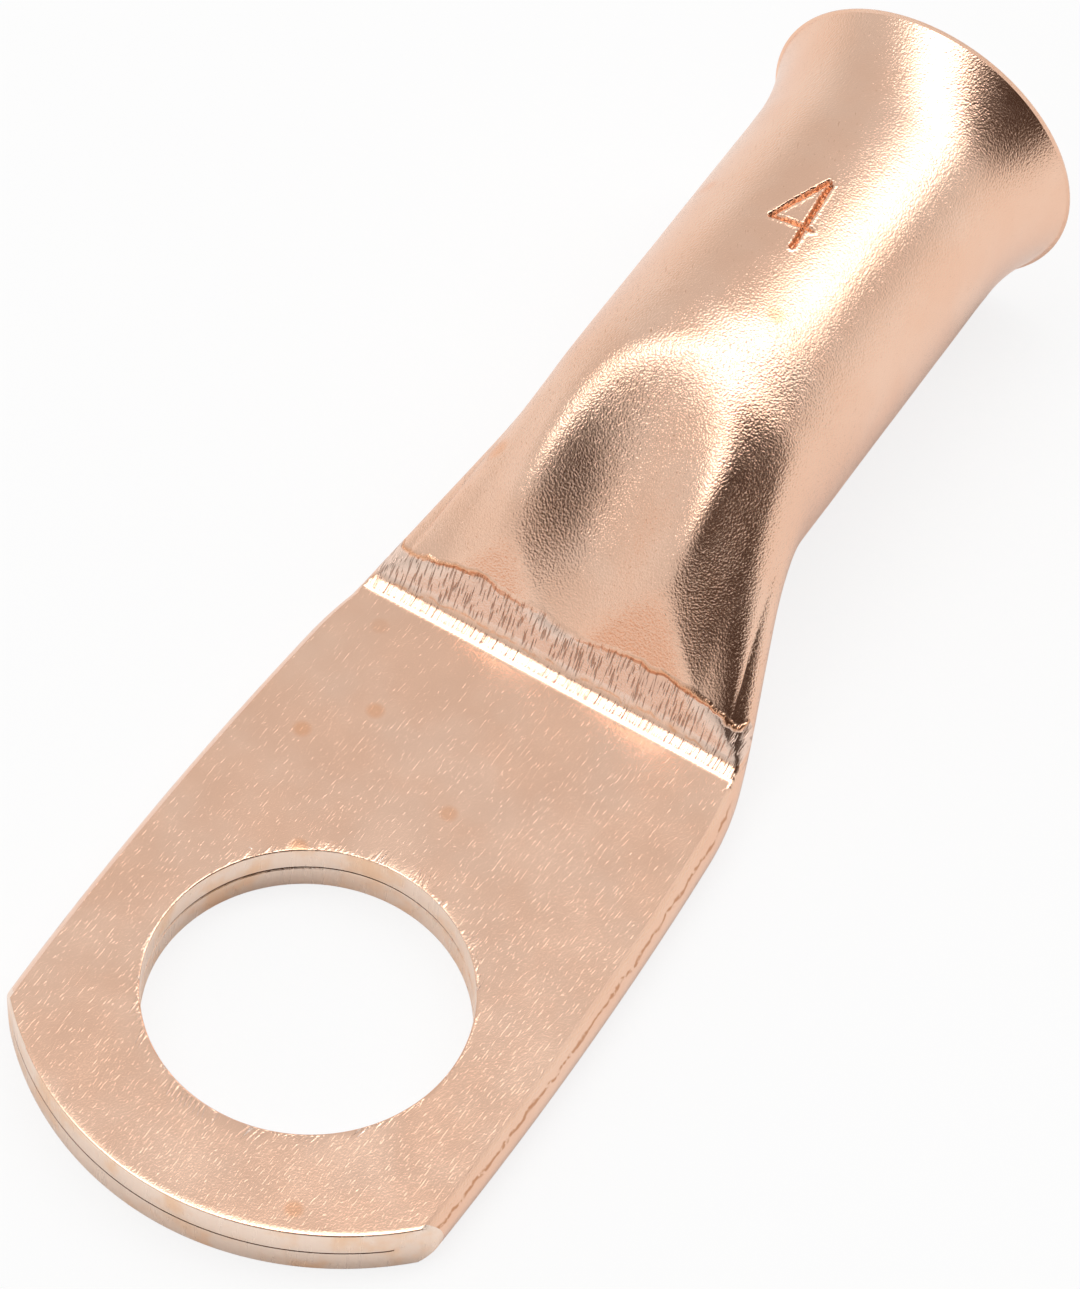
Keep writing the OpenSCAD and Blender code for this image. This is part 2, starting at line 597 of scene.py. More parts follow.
    def inner_top(self, x: float) -> float:
        """Returns how round the inside of the top is at x.

        Args:
            x: Place along the lug.

        Returns:
            A share from 0, flat, to 1, round, that keeps the wall's thickness.
        """
        reach = self.slope_reach
        slope = (self.crown(x + reach) - self.crown(x - reach)) / (2 * reach)
        mid = self.palm_t / 2
        under = self.crown(x) - self.wall_at(x) * math.sqrt(1 + slope**2)
        return clamp((under - mid) / (self.axis_z + self.bore_r - mid))

    def inner_skin(self, x: float, angle: float) -> Pair:
        """Returns a point of the inside, before the press marks.

        Args:
            x: Place along the lug.
            angle: Ring angle in degrees.

        Returns:
            The point's y and z.
        """
        flat_y, flat_z = self.flat_point(x, angle, self.palm_wall)
        share = self.round_at(x, angle, self.inner_top(x))
        y = mix(flat_y, self.bore_r * cos_deg(angle), self.round_side(x))
        return y, mix(flat_z, self.axis_z + self.bore_r * sin_deg(angle), share)

    def inner(self, x: float, angle: float) -> Pair:
        """Returns a point of the inner skin.

        Args:
            x: Place along the lug.
            angle: Ring angle in degrees.

        Returns:
            The point's y and z.
        """
        y, z = self.inner_skin(x, angle)
        sine = sin_deg(angle)
        if sine <= 0:
            return y, z
        roof = min(z - self.dimple(x, y) * sine, self.step_roof(x))
        if x > self.shoulder_x + self.roof_lead:
            roof = min(roof, self.outer(x, angle)[1] - self.wall_least)
        return y, max(self.inner_skin(x, -angle)[1] + self.seam_gap, roof)

    # Tip -------------------------------------------------------------------

    def tip_x(self, y: float) -> float:
        """Returns where the sheared tip lies at a place across the palm."""
        reach = math.sqrt(max(0.0, self.tip_r**2 - y**2))
        return self.tip_centre - reach

    def fan(self, blank_x: float, y: float) -> float:
        """Returns the place along the lug of a blank ring, once the tip is sheared.

        Args:
            blank_x: Place of the ring on the blank.
            y: Place across the palm.

        Returns:
            Its place along the lug.
        """
        if blank_x >= self.tip_fan:
            return blank_x
        share = (blank_x + self.tip_reach) / (self.tip_fan + self.tip_reach)
        return mix(self.tip_x(y), self.tip_fan, share)

    def rim_drop(self, blank_x: float) -> float:
        """Returns how far the skin rolls over towards the sheared tip.

        Args:
            blank_x: Place of the ring on the blank.

        Returns:
            The drop of the upper skin, and the rise of the lower one.
        """
        near = self.rim_round - (blank_x + self.tip_reach)
        if near <= 0:
            return 0.0
        return self.rim_round - math.sqrt(max(0.0, self.rim_round**2 - near**2))


# --------------------------------------------------------------------------
# The stamped size
# --------------------------------------------------------------------------


@dataclass
class SizeStamp:
    """The plain wire-size digit struck into the top of the barrel.

    Strokes are (x, y) places on the barrel, y measured round the surface.
    """

    apex: Pair = (30.4, 0.0)
    corner: Pair = (28.22, 0.93)
    bar_end: Pair = (28.36, -0.5)
    stem_top: Pair = (30.3, -0.08)
    stem_foot: Pair = (27.42, -0.33)
    stroke: float = 0.1
    stroke_soft: float = 1.25
    depth: float = 0.17
    lip: float = 0.016
    lip_reach: float = 0.16
    lip_mid: float = 0.35
    lip_half: float = 0.6
    ragged: float = 0.03
    ragged_scale: float = 9.0
    ragged_seed: float = 3.0
    margin: float = 0.5
    spare: float = 0.05
    cuts: int = 3

    def strokes(self) -> list[tuple[Pair, Pair]]:
        """Returns the three strokes of the digit, each as its two ends."""
        return [
            (self.apex, self.corner),
            (self.corner, self.bar_end),
            (self.stem_top, self.stem_foot),
        ]

    def holds(self, x: float, arc: float, spare: float = 0.0) -> bool:
        """Returns whether a place on the barrel lies in the stamp's patch.

        Args:
            x: Place along the lug.
            arc: Place round the barrel.
            spare: How much wider than its margin the patch is taken.

        Returns:
            Whether the place is in the patch.
        """
        m = self.margin + spare
        return (
            self.stem_foot[0] - m < x < self.apex[0] + m
            and self.bar_end[1] - m < arc < self.corner[1] + m
        )

    def distance(self, x: float, arc: float) -> float:
        """Returns how far a place on the barrel is from the nearest stroke.

        Args:
            x: Place along the lug.
            arc: Place round the barrel.

        Returns:
            The distance to the stroke's middle line.
        """
        best = math.inf
        for (x0, y0), (x1, y1) in self.strokes():
            run, rise = x1 - x0, y1 - y0
            share = clamp(((x - x0) * run + (arc - y0) * rise) / (run**2 + rise**2))
            best = min(best, math.hypot(x - x0 - run * share, arc - y0 - rise * share))
        return best

    def sink(self, x: float, arc: float) -> float:
        """Returns how far the surface is pushed in, or raised where it is below 0.

        Args:
            x: Place along the lug.
            arc: Place round the barrel.

        Returns:
            The depth at that place.
        """
        scale = self.ragged_scale
        shake = noise.noise(Vector((x * scale, arc * scale, self.ragged_seed)))
        away = self.distance(x, arc) + self.ragged * shake
        groove = self.depth * smooth(1.0 - away / (self.stroke * self.stroke_soft))
        swell = (away - self.stroke) / self.lip_reach
        raised = self.lip * smooth(1.0 - abs(swell - self.lip_mid) / self.lip_half)
        return groove - raised


# --------------------------------------------------------------------------
# Finishes
# --------------------------------------------------------------------------


class NodeBench:
    """Short ways to lay out the nodes of one material or world."""

    def __init__(self, tree: bpy.types.NodeTree) -> None:
        """Keeps the tree and empties it."""
        self.tree = tree
        tree.nodes.clear()

    def node(self, kind: str, **settings: object) -> bpy.types.Node:
        """Adds a node.

        Args:
            kind: The node's type name.
            **settings: Attributes to set on it.

        Returns:
            The new node.
        """
        made = self.tree.nodes.new(kind)
        for name, value in settings.items():
            setattr(made, name, value)
        return made

    def link(self, source: object, target: bpy.types.NodeSocket) -> None:
        """Joins an output to an input, or sets the input to a plain value.

        Args:
            source: The output or the value.
            target: The input socket.
        """
        if isinstance(source, bpy.types.NodeSocket):
            self.tree.links.new(source, target)
        else:
            target.default_value = source

    def math(self, operation: str, first: object, second: object = 0.0) -> object:
        """Adds a Math node.

        Args:
            operation: The node's operation.
            first: First value.
            second: Second value.

        Returns:
            The node's output.
        """
        made = self.node("ShaderNodeMath", operation=operation)
        self.link(first, made.inputs[0])
        self.link(second, made.inputs[1])
        return made.outputs[0]

    def chain(self, operation: str, values: tuple[object, ...]) -> object:
        """Adds Math nodes that take the values in one by one, from the first.

        Args:
            operation: The nodes' operation.
            values: The values.

        Returns:
            The last node's output.
        """
        result = values[0]
        for value in values[1:]:
            result = self.math(operation, result, value)
        return result

    def times(self, *values: object) -> object:
        """Returns the product of the values."""
        return self.chain("MULTIPLY", values)

    def plus(self, *values: object) -> object:
        """Returns the sum of the values."""
        return self.chain("ADD", values)

    def away(self, value: object, middle: float) -> object:
        """Returns how far the value is from its middle."""
        return self.math("ABSOLUTE", self.plus(value, -middle))

    def ramp(self, source: object, span: Pair, out: Pair = RISING) -> object:
        """Adds a smooth Map Range.

        Args:
            source: The value to map.
            span: The values that give the first and the second result.
            out: The two results.

        Returns:
            The node's output.
        """
        made = self.node("ShaderNodeMapRange", interpolation_type="SMOOTHSTEP")
        self.link(source, made.inputs["Value"])
        ends = ("From Min", "From Max", "To Min", "To Max")
        for name, value in zip(ends, (*span, *out)):
            made.inputs[name].default_value = value
        return made.outputs["Result"]

    def band(self, source: object, rising: Pair, falling: Pair) -> object:
        """Returns 1 between a rising and a falling span, and 0 outside them."""
        return self.times(
            self.ramp(source, rising), self.ramp(source, falling, FALLING)
        )

    def stretched(
        self, source: object, scale: Triple, turn: Triple = (0.0, 0.0, 0.0)
    ) -> object:
        """Adds a Mapping that scales and turns a pattern's coordinates.

        Args:
            source: The coordinates.
            scale: Repeats per unit along each axis.
            turn: Turn about each axis, in degrees.

        Returns:
            The mapped coordinates.
        """
        made = self.node("ShaderNodeMapping", vector_type="TEXTURE")
        self.link(source, made.inputs["Vector"])
        made.inputs["Scale"].default_value = [1 / s for s in scale]
        made.inputs["Rotation"].default_value = [math.radians(a) for a in turn]
        return made.outputs["Vector"]

    def noise(self, source: object, scale: float, detail: float = 2.0) -> object:
        """Adds a Noise texture.

        Args:
            source: The coordinates.
            scale: Patterns per unit.
            detail: How many finer layers it has.

        Returns:
            The noise's value.
        """
        made = self.node("ShaderNodeTexNoise")
        self.link(source, made.inputs["Vector"])
        made.inputs["Scale"].default_value = scale
        made.inputs["Detail"].default_value = detail
        return made.outputs["Fac"]

    def blend(self, share: object, first: object, second: object) -> object:
        """Adds a colour Mix node.

        Args:
            share: Share of the second colour.
            first: First colour.
            second: Second colour.

        Returns:
            The mixed colour.
        """
        made = self.node("ShaderNodeMix", data_type="RGBA")
        self.link(share, made.inputs[0])
        self.link(first, made.inputs[6])
        self.link(second, made.inputs[7])
        return made.outputs[2]

    def axis(self, source: object, name: str) -> object:
        """Adds a Separate XYZ node.

        Args:
            source: The vector.
            name: X, Y or Z.

        Returns:
            That part of the vector.
        """
        split = self.node("ShaderNodeSeparateXYZ")
        self.link(source, split.inputs[0])
        return split.outputs[name]

    def facing(self, direction: object, aim: Triple) -> object:
        """Adds a dot product of a direction with an aim.

        Args:
            direction: The direction.
            aim: Where it may point to.

        Returns:
            1 where the direction points at the aim, less the further it is off.
        """
        made = self.node("ShaderNodeVectorMath", operation="DOT_PRODUCT")
        self.link(direction, made.inputs[0])
        made.inputs[1].default_value = Vector(aim).normalized()
        return made.outputs["Value"]

    def attribute(self, name: str) -> object:
        """Adds a reader of a mesh attribute and returns its value."""
        made = self.node("ShaderNodeAttribute", attribute_name=name)
        return made.outputs["Fac"]


class MetalBench(NodeBench):
    """The bench of one bare metal, with the place on the lug in millimetres."""

    def __init__(self, name: str) -> None:
        """Starts the metal's material.

        Args:
            name: The material's name.
        """
        self.material = bpy.data.materials.new(name)
        self.material.use_nodes = True
        super().__init__(self.material.node_tree)
        output = self.node("ShaderNodeOutputMaterial")
        self.shader = self.node("ShaderNodeBsdfPrincipled")
        self.link(self.shader.outputs[0], output.inputs["Surface"])
        self.shader.inputs["Metallic"].default_value = 1.0
        place = self.node("ShaderNodeTexCoord").outputs["Object"]
        self.mm = self.stretched(place, (1 / MM, 1 / MM, 1 / MM))

    def finished(
        self, colour: object, roughness: object, height: object
    ) -> bpy.types.Material:
        """Joins what was laid out to the shader.

        Args:
            colour: The metal's colour.
            roughness: Its roughness.
            height: Its fine relief, in millimetres.

        Returns:
            The finished material.
        """
        self.link(colour, self.shader.inputs["Base Color"])
        self.link(roughness, self.shader.inputs["Roughness"])
        bump = self.node("ShaderNodeBump")
        bump.inputs["Strength"].default_value = 1.0
        bump.inputs["Distance"].default_value = MM
        self.link(height, bump.inputs["Height"])
        self.link(bump.outputs["Normal"], self.shader.inputs["Normal"])
        return self.material


@dataclass(frozen=True)
class PressMarks:
    """Shares, from 0 to 1, of what the press has left at each point."""

    formed: object
    step: object
    toe: object
    ridge: object
    split: object
    scratch: object


@dataclass(frozen=True)
class RolledCopper:
    """Bare drawn copper: satin, with grain, rubbing and a few warm freckles.

    A span is where a pattern sets in, and places are in millimetres. The step's
    marks follow the climb from its foot, 0, to its ridge, 1.
    """

    name: str = "rolled_copper"
    pink: Colour = (0.945, 0.605, 0.435, 1.0)
    pale: Colour = (0.965, 0.65, 0.485, 1.0)
    orange: Colour = (0.90, 0.42, 0.20, 1.0)
    # Painted shade of the step's scratches
    dark: Colour = (0.34, 0.17, 0.10, 1.0)
    # Brown of the hair scratches, and painted shade in the crease and the stamp's
    # groove
    brown_and_shade: Colour = (0.55, 0.24, 0.11, 1.0)
    wiped: Colour = (0.98, 0.76, 0.64, 1.0)

    # The pressed step. A noise has its patterns per millimetre and its detail.
    shake_noise: Pair = (1.1, 3.0)
    shake: Pair = (-0.07, 0.07)
    step_foot: Pair = (0.16, 0.34)
    step_top: Pair = (0.9, 1.1)
    toe_foot: Pair = (0.0, 0.06)
    toe_top: Pair = (0.2, 0.35)
    ridge_foot: Pair = (0.93, 1.0)
    ridge_top: Pair = (1.0, 1.09)
    ridge_middle: float = 0.4
    ridge_ends: Pair = (1.2, 4.2)
    ridge_shares: Pair = (0.25, 1.0)
    split_climb: float = 0.19
    split_width: Pair = (0.008, 0.03)
    split_shares: Pair = (0.6, 0.0)
    split_noise: Pair = (3.0, 2.0)
    split_breaks: Pair = (0.4, 0.55)
    scratch_scale: Triple = (1.6, 15.0, 1.6)
    scratch_noise: Pair = (1.0, 1.5)
    scratch_span: Pair = (0.52, 0.68)

    # The painted shade of a crease along the folded sides
    crease_noise: Pair = (1.3, 3.0)
    crease_drop: Pair = (-1.62, -1.38)
    crease_width: Pair = (0.02, 0.09)
    crease_shares: Pair = (0.8, 0.0)
    break_noise: Pair = (5.0, 3.0)
    crease_breaks: Pair = (0.36, 0.52)
    crease_end: Pair = (12.8, 13.8)

    # Freckles, clouds and hair scratches
    cloud_noise: Pair = (0.35, 3.0)
    cloud_span: Pair = (0.35, 0.68)
    freckle_scale: float = 0.2
    freckle_edge: Pair = (0.03, 0.08)
    freckle_few: Pair = (0.55, 0.6)
    plain_noise: Pair = (1.0, 0.0)
    hair_scale: Triple = (1.3, 20.0, 20.0)
    hair_turn: Triple = (0.0, 20.0, 24.0)
    hair_span: Pair = (0.75, 0.83)
    hair_shares: Pair = (0.0, 0.6)

    # How strongly each one colours the copper; the crease, the stamp's groove and the
    # step's scratches are painted shade
    freckle_share: float = 0.45
    # Painted shade in the stamp's groove, darker where the groove is deeper
    struck_shade_share: float = 0.75
    wiped_share: float = 0.8
    # Painted shade in the step's scratches
    scratch_shade_share: float = 0.6
    worked_share: float = 0.75

    # Sheen
    roughness: float = 0.2
    sheen_noise: Pair = (0.8, 4.0)
    sheen_span: Pair = (0.3, 0.7)
    sheen_cloud: Pair = (-0.02, 0.02)
    formed_rough: float = 0.05
    step_rough: float = 0.05

    # Relief
    grain_noise: Pair = (14.0, 1.0)
    grain_height: float = 0.0045
    formed_grain: float = 0.019
    rub_scale: Triple = (3.2, 21.0, 21.0)
    rub_span: Pair = (0.66, 0.8)
    rub_height: float = 0.0016
    comb_scale: Triple = (0.7, 9.0, 0.7)
    comb_noise: Pair = (1.0, 2.0)
    comb_height: float = 0.03
    scratch_height: float = -0.02
    bead_height: float = 0.04

    def build(self) -> bpy.types.Material:
        """Returns the built material."""
        bench = MetalBench(self.name)
        marks = self.marks(bench)
        return bench.finished(
            self.colour(bench, marks),
            self.sheen(bench, marks),
            self.relief(bench, marks),
        )

    def marks(self, bench: MetalBench) -> PressMarks:
        """Lays out where the press has marked the copper.

        Args:
            bench: The material's bench.

        Returns:
            The marks.
        """
        mm = bench.mm
        climb = bench.attribute("climb")
        wobble = bench.ramp(bench.noise(mm, *self.shake_noise), NOISE_SPAN, self.shake)
        ragged = bench.plus(climb, wobble)
        step = bench.band(ragged, self.step_foot, self.step_top)
        line = bench.band(ragged, self.ridge_foot, self.ridge_top)
        off = bench.away(bench.axis(mm, "Y"), self.ridge_middle)
        fuller = bench.ramp(off, self.ridge_ends, self.ridge_shares)
        near = bench.away(ragged, self.split_climb)
        split = bench.ramp(near, self.split_width, self.split_shares)
        breaks = bench.ramp(bench.noise(mm, *self.split_noise), self.split_breaks)
        up = bench.stretched(mm, self.scratch_scale)
        score = bench.ramp(bench.noise(up, *self.scratch_noise), self.scratch_span)
        return PressMarks(
            formed=bench.attribute("formed"),
            step=step,
            toe=bench.band(climb, self.toe_foot, self.toe_top),
            ridge=bench.times(line, fuller),
            split=bench.times(split, breaks),
            scratch=bench.times(score, step),
        )

    def hairs(self, bench: MetalBench, marks: PressMarks) -> object:
        """Lays out the sparse hair scratches of handling on the round tube.

        Args:
            bench: The material's bench.
            marks: The press marks.

        Returns:
            The scratches, 0 to 1.
        """
        across = bench.stretched(bench.mm, self.hair_scale, self.hair_turn)
        hair = bench.noise(across, *self.plain_noise)
        lines = bench.ramp(hair, self.hair_span, self.hair_shares)
        return bench.times(lines, marks.formed)

    def crease_shade(self, bench: MetalBench) -> object:
        """Lays out painted shade: a broken dark line along a crease of the palm's
        folded sides.

        Args:
            bench: The material's bench.

        Returns:
            The painted shade of the crease, 0 to 1.
        """
        mm = bench.mm
        sway = bench.noise(mm, *self.crease_noise)
        drop = bench.ramp(sway, NOISE_SPAN, self.crease_drop)
        off = bench.math("ABSOLUTE", bench.plus(bench.axis(mm, "Z"), drop))
        line = bench.ramp(off, self.crease_width, self.crease_shares)
        broken = bench.ramp(bench.noise(mm, *self.break_noise), self.crease_breaks)
        held = bench.ramp(bench.axis(mm, "X"), self.crease_end, FALLING)
        return bench.times(line, broken, held)

    def freckles(self, bench: MetalBench) -> object:
        """Lays out the few small freckles.

        Args:
            bench: The material's bench.

        Returns:
            The freckles, 0 to 1.
        """
        spots = bench.node(
            "ShaderNodeTexVoronoi", feature="F1", voronoi_dimensions="2D"
        )
        bench.link(bench.mm, spots.inputs["Vector"])
        spots.inputs["Scale"].default_value = self.freckle_scale
        near = bench.ramp(spots.outputs["Distance"], self.freckle_edge, FALLING)
        chosen = bench.node("ShaderNodeSeparateColor")
        bench.link(spots.outputs["Color"], chosen.inputs[0])
        return bench.times(near, bench.ramp(chosen.outputs[0], self.freckle_few))

    def colour(self, bench: MetalBench, marks: PressMarks) -> object:
        """Lays the copper's colours over one another, with painted shade in the crease,
        in the stamp's groove and in the step's scratches.

        Args:
            bench: The material's bench.
            marks: The press marks.

        Returns:
            The colour output.
        """
        cloudy = bench.noise(bench.mm, *self.cloud_noise)
        clouds = bench.ramp(cloudy, self.cloud_span)
        worked = bench.math("MAXIMUM", marks.ridge, marks.split)
        coats = [
            (bench.times(self.freckles(bench), self.freckle_share), self.orange),
            (self.hairs(bench, marks), self.brown_and_shade),
            # Painted shade: a dark broken line along the crease of the folded sides
            (self.crease_shade(bench), self.brown_and_shade),
            # Painted shade in the stamp's groove, darker the deeper it is struck
            (bench.times(bench.attribute("struck"), self.struck_shade_share), self.brown_and_shade),
            (bench.times(marks.step, self.wiped_share), self.wiped),
            # Painted shade: the step's scratches darkened
            (bench.times(marks.scratch, self.scratch_shade_share), self.dark),
            (bench.times(worked, self.worked_share), self.orange),
        ]
        colour = bench.blend(clouds, self.pink, self.pale)
        for share, coat in coats:
            colour = bench.blend(share, colour, coat)
        return colour

    def sheen(self, bench: MetalBench, marks: PressMarks) -> object:
        """Lays out the roughness.

        Args:
            bench: The material's bench.
            marks: The press marks.

        Returns:
            The roughness output.
        """
        cloudy = bench.noise(bench.mm, *self.sheen_noise)
        return bench.plus(
            bench.ramp(cloudy, self.sheen_span, self.sheen_cloud),
            self.roughness,
            bench.times(marks.formed, self.formed_rough),
            bench.times(marks.step, self.step_rough),
        )

    def relief(self, bench: MetalBench, marks: PressMarks) -> object:
        """Lays out the fine relief.

        Args:
            bench: The material's bench.
            marks: The press marks.

        Returns:
            The height output, in millimetres.
        """
        coarse = bench.plus(
            bench.times(marks.formed, self.formed_grain), self.grain_height
        )
        grain = bench.times(bench.noise(bench.mm, *self.grain_noise), coarse)
        along = bench.stretched(bench.mm, self.rub_scale)
        rub = bench.ramp(bench.noise(along, *self.plain_noise), self.rub_span)
        teeth = bench.stretched(bench.mm, self.comb_scale)
        comb = bench.noise(teeth, *self.comb_noise)
        return bench.plus(
            grain,
            bench.times(rub, self.rub_height),
            bench.times(comb, marks.toe, self.comb_height),
            bench.plus(
                bench.times(marks.scratch, self.scratch_height),
                bench.times(marks.ridge, self.bead_height),
            ),
        )


@dataclass(frozen=True)
class ShearedCopper:
    """The cut faces of the tip and the bolt hole: brighter, with drag lines."""

    name: str = "sheared_copper"
    pale: Colour = (1.0, 0.81, 0.68, 1.0)
    orange: Colour = (0.97, 0.62, 0.38, 1.0)
    cloud_noise: Pair = (0.7, 3.0)
    cloud_span: Pair = (0.45, 0.7)
    cloud_shares: Pair = (0.0, 0.7)
    drag_scale: Triple = (7.0, 7.0, 0.7)
    drag_noise: Pair = (1.0, 2.0)
    drag_span: Pair = (0.3, 0.7)
    drag_roughness: Pair = (0.26, 0.4)
    drag_height: float = 0.02

    def build(self) -> bpy.types.Material:
        """Returns the built material."""
        bench = MetalBench(self.name)
        cloudy = bench.noise(bench.mm, *self.cloud_noise)
        share = bench.ramp(cloudy, self.cloud_span, self.cloud_shares)
        down = bench.stretched(bench.mm, self.drag_scale)
        drag = bench.noise(down, *self.drag_noise)
        return bench.finished(
            bench.blend(share, self.pale, self.orange),
            bench.ramp(drag, self.drag_span, self.drag_roughness),
            bench.times(drag, self.drag_height),
        )


# --------------------------------------------------------------------------
# The lug
# --------------------------------------------------------------------------


@dataclass
class Lug:
    """The whole lug: one piece of tube, turned, pressed, sheared and punched."""

    press: Pressing = field(default_factory=Pressing)
    stamp: SizeStamp = field(default_factory=SizeStamp)

    # Turned blank
    sides: int = 280
    rim_rings: tuple[float, ...] = (0.0, 0.013, 0.03, 0.055, 0.09)
    tip_band: float = 0.3
    shoulder_bands: Triple = (-1.0, -0.3, 2.0)
    stamp_band: float = 0.6
    outer_rings: tuple[int, ...] = (24, 11, 5, 42, 44, 6, 36, 6)
    inner_bands: Pair = (-0.5, 2.5)
    inner_rings: tuple[int, ...] = (16, 14, 16, 5)
    bell_len: float = 3.5
    bell_steps: int = 18
    lip_wall: float = 0.85
    lip_round: float = 0.14
    lip_steps: int = 12
    lip_square: float = 0.55
    lip_flat: float = 0.7

    # Unevenness of the worked copper
    sway: float = 0.012
    sway_scale: float = 0.28
    ripple_scale: float = 0.7
    ripple_share: float = 0.5
    sway_sink: float = 0.9
    sway_x: float = 13.0
    sway_len: float = 3.0

    # Where the copper is stretched, and how far that has worn off the barrel
    formed_x: float = 14.6
    formed_len: float = 1.5
    worn_x: float = 23.0
    worn_len: float = 4.0
    worn_share: float = 0.55

    # Bolt hole
    hole_d: float = 10.3
    hole_round: float = 0.07
    hole_sides: int = 180
    hole_curl_steps: int = 4
    seam_half: float = 0.07
    seam_cut: float = 0.05
    punch_spare: float = 1.0
    weld: float = 1e-5

    # Cut faces
    cut_end: float = 1.0
    cut_tilt: float = 0.75
    cut_hole_reach: float = 0.06
    cut_tip_reach: float = 0.03
    crease_angle: float = 33.0

    # Blank -----------------------------------------------------------------

    def outer_stations(self) -> list[float]:
        """Lays the outer skin's rings closest at the rim, the step and the stamp.

        Returns:
            The places along the blank where the outer skin has a ring.
        """
        p = self.press
        places = [
            self.tip_band - p.tip_reach,
            p.tip_fan,
            *(p.shoulder_x + band for band in self.shoulder_bands),
            p.pressed_x,
            self.stamp.stem_foot[0] - self.stamp_band,
            self.stamp.apex[0] + self.stamp_band,
            p.mouth_x - self.bell_len,
        ]
        rim = [ring - p.tip_reach for ring in self.rim_rings]
        return rim + ringed(places, self.outer_rings)

    def inner_stations(self) -> list[float]:
        """Lays the inner skin's rings closest under the step.

        Returns:
            The places along the blank where the inner skin has a ring.
        """
        p = self.press
        places = [
            -p.tip_reach,
            *(p.shoulder_x + band for band in self.inner_bands),
            p.pressed_x,
            p.mouth_x - self.bell_len,
        ]
        return ringed(places, self.inner_rings)

    def bell_curve(self, radius: float, lip: float) -> list[Vector]:
        """Returns the flare of the mouth as (x, 0, radius) places.

        Args:
            radius: Radius where the flare leaves the tube.
            lip: Radius at the mouth.

        Returns:
            The places, from the tube to the mouth.
        """
        rise = lip - radius
        arc = (self.bell_len**2 + rise**2) / (2 * rise)
        sweep = math.asin(self.bell_len / arc)
        start = self.press.mouth_x - self.bell_len
        turns = [sweep * i / self.bell_steps for i in range(self.bell_steps + 1)]
        return [
            Vector((start + arc * math.sin(a), 0, radius + arc * (1 - math.cos(a))))
            for a in turns
        ]

    def lip_curve(self, top: Vector, bottom: Vector) -> list[Vector]:
        """Returns the squarish rounding of the mouth's rim.

        Args:
            top: Outer end of the rim.
            bottom: Inner end of the rim.

        Returns:
            The places, from the outer end to the inner one.
        """
        middle = (top + bottom) / 2
        half = (top.z - bottom.z) / 2
        places = []
        for i in range(self.lip_steps + 1):
            a = math.pi * i / self.lip_steps - math.pi / 2
            lift = -math.sin(a)
            square = math.copysign(abs(lift) ** self.lip_square, lift)
            x = top.x - self.lip_round * (1 - abs(math.cos(a)) ** self.lip_flat)
            places.append(Vector((x, 0, middle.z + square * half)))
        return places

    def profile(self) -> list[tuple[Vector, Skin]]:
        """Returns the turned blank's closed section, from the tip and back.

        Returns:
            The section's places, each with the skin that it belongs to.
        """
        p = self.press
        lip_r = p.bell_od / 2
        outside = self.bell_curve(p.barrel_r, lip_r)
        inside = self.bell_curve(p.bore_r, lip_r - self.lip_wall)
        rim = self.lip_curve(outside[-1], inside[-1])
        skins = {
            Skin.OUTER: [Vector((x, 0, p.barrel_r)) for x in self.outer_stations()],
            Skin.LIP: outside[:-1] + rim + inside[-2::-1],
            Skin.INNER: [Vector((x, 0, p.bore_r)) for x in self.inner_stations()[::-1]],
        }
        return [(place, skin) for skin, places in skins.items() for place in places]

    def turn_blank(self) -> bmesh.types.BMesh:
        """Turns the section into a round tube about the barrel's axis.

        Returns:
            The blank, with each vertex's skin in an integer layer.
        """
        bm = bmesh.new()
        layer = bm.verts.layers.int.new("skin")
        verts = []
        for place, skin in self.profile():
            vert = bm.verts.new(place)
            vert[layer] = skin.value
            verts.append(vert)
        join_in_order(bm, verts + verts[:1])
        spin_round(bm, (1.0, 0.0, 0.0), self.sides)
        bmesh.ops.recalc_face_normals(bm, faces=bm.faces[:])
        return bm

    # Pressing --------------------------------------------------------------

    def formed_at(self, x: float) -> float:
        """Returns how stretched the copper shows at x, from 0 to 1."""
        worn = self.worn_share * smooth((x - self.worn_x) / self.worn_len)
        return smooth((x - self.formed_x) / self.formed_len) * (1.0 - worn)

    def press_outer(self, x: float, angle: float) -> tuple[Vector, float]:
        """Presses a point of the outer skin.

        Args:
            x: Place along the blank.
            angle: Ring angle in degrees.

        Returns:
            The point's place, and how far up the step it lies.
        """
        p = self.press
        drop = p.rim_drop(x)
        y, z, climb = p.outer(x, angle)
        if x < p.tip_fan:
            x = p.fan(x, y)
            y, z, climb = p.outer(x, angle)
            z += drop if z < p.palm_t / 2 else -drop
        return Vector((x, y, z)), climb

    def press_inner(self, x: float, angle: float) -> Vector:
        """Presses a point of the inner skin.

        Args:
            x: Place along the blank.
            angle: Ring angle in degrees.

        Returns:
            The point's place.
        """
        p = self.press
        y, z = p.inner(x, angle)
        if x < p.tip_fan:
            x = p.fan(x, y)
            y, z = p.inner(x, angle)
        return Vector((x, y, z))

    def press_tube(self, bm: bmesh.types.BMesh) -> None:
        """Presses the blank: every vertex goes where the closed press leaves it.

        Args:
            bm: The turned blank.
        """
        p = self.press
        skin_layer = bm.verts.layers.int["skin"]
        climb_layer = bm.verts.layers.float.new("climb")
        formed_layer = bm.verts.layers.float.new("formed")
        for vert in bm.verts:
            x = vert.co.x
            angle = math.degrees(math.atan2(vert.co.z, vert.co.y))
            skin = Skin(vert[skin_layer])
            vert[formed_layer] = self.formed_at(x)
            vert[climb_layer] = p.climb_at(x, 0.0, p.palm_t)
            if skin is Skin.LIP or x > p.pressed_x:
                vert.co.z += p.axis_z
            elif skin is Skin.INNER:
                vert.co = self.press_inner(x, angle)
            else:
                vert.co, vert[climb_layer] = self.press_outer(x, angle)

